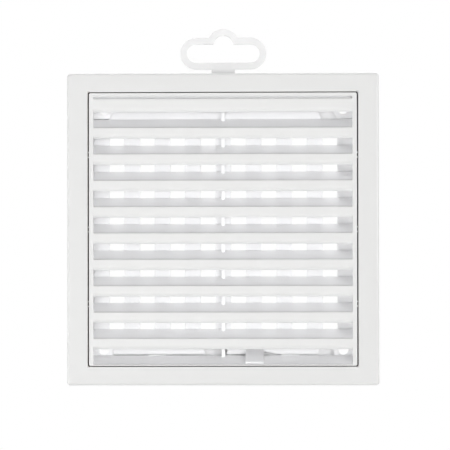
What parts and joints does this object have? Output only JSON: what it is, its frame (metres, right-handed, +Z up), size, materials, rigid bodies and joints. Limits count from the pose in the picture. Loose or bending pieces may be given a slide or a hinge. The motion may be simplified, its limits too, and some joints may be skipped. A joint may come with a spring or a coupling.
{
  "type": "louvred vent grille",
  "caption": "Square louvred vent grille: flat-bordered wall frame with a hanging ring, a snap-in louvre insert and a sliding lattice shutter behind its slats.",
  "frame": {"origin": "middle of the back face of the flange, in the wall plane", "axes": "+X to the right and +Z up as seen from the front, +Y into the wall; the louvres look along -Y"},
  "size_m": [0.14, 0.0125, 0.1608],
  "materials": {
    "frame_plastic": "white moulded plastic, satin gloss",
    "insert_plastic": "white moulded plastic, satin gloss",
    "shutter_plastic": "thin white moulded plastic, slightly translucent"
  },
  "bodies": {
    "base": {"base_frame": "frame_plastic"},
    "insert": {"louvre_insert": "insert_plastic"},
    "shutter": {"shutter": "shutter_plastic"}
  },
  "joints": [
    {"name": "insert_pull", "type": "slide", "parent": "base", "child": "insert", "axis": [0, -1, 0], "range_m": [0, 0.03]},
    {"name": "shutter_slide", "type": "slide", "parent": "insert", "child": "shutter", "axis": [1, 0, 0], "range_m": [0, 0.00688]}
  ]
}
